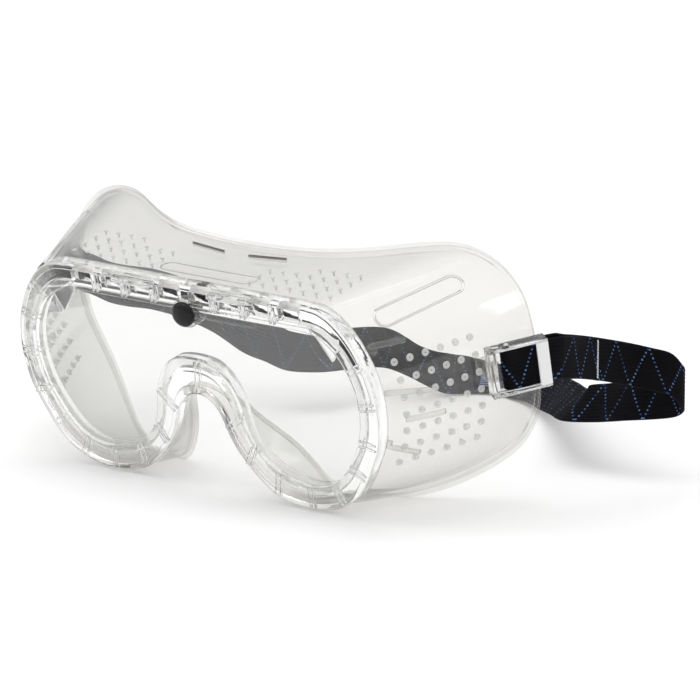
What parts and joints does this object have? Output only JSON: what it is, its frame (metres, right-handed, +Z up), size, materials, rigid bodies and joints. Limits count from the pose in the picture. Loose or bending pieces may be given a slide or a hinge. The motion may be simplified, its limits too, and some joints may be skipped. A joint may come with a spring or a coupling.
{
  "type": "safety goggles",
  "caption": "Clear soft-framed safety goggles with a flat pinned lens, vent holes, swinging strap buckles and an elastic head strap lying loose behind.",
  "frame": {"origin": "middle of the whole thing, goggles and strap, on the surface they rest on", "axes": "+X towards the wearer's left, +Y from the lens towards the face and the strap, +Z up"},
  "size_m": [0.2019, 0.1679, 0.0761],
  "materials": {
    "frame_clear": "clear flexible vinyl, glossy, moulded",
    "lens_clear": "clear hard polycarbonate sheet",
    "buckle_clear": "clear hard moulded plastic",
    "stud_black": "black, high gloss",
    "elastic": "ribbed woven elastic with a dotted blue zigzag",
    "thread": "sewing thread"
  },
  "bodies": {
    "goggles": {"front_rim": "frame_clear", "face_skirt": "frame_clear", "lens": "lens_clear", "strap_left": "elastic", "strap_back": "elastic", "strap_right": "elastic", "strap_end_left": "elastic", "strap_end_right": "elastic", "bar_tack_left": "thread", "bar_tack_right": "thread"},
    "buckle_left": {"buckle_left": "buckle_clear", "strap_loop_left": "elastic"},
    "buckle_right": {"buckle_right": "buckle_clear", "strap_loop_right": "elastic"},
    "stud": {"lens_stud": "stud_black"}
  },
  "joints": [
    {"name": "buckle_left_swing", "type": "hinge", "parent": "goggles", "child": "buckle_left", "pos_m": [0.0778, -0.04346, 0.04434], "axis": [0, -0.2079, 0.9781], "range_deg": [-25, 15], "deforming": ["strap_left", "strap_end_left", "bar_tack_left"]},
    {"name": "buckle_right_swing", "type": "hinge", "parent": "goggles", "child": "buckle_right", "pos_m": [-0.0902, -0.04346, 0.04434], "axis": [0, -0.2079, 0.9781], "range_deg": [0, 40], "deforming": ["strap_right", "strap_end_right", "bar_tack_right"]},
    {"name": "stud_pull", "type": "slide", "parent": "goggles", "child": "stud", "axis": [0, -0.9781, -0.2079], "range_m": [0, 0.008]}
  ]
}
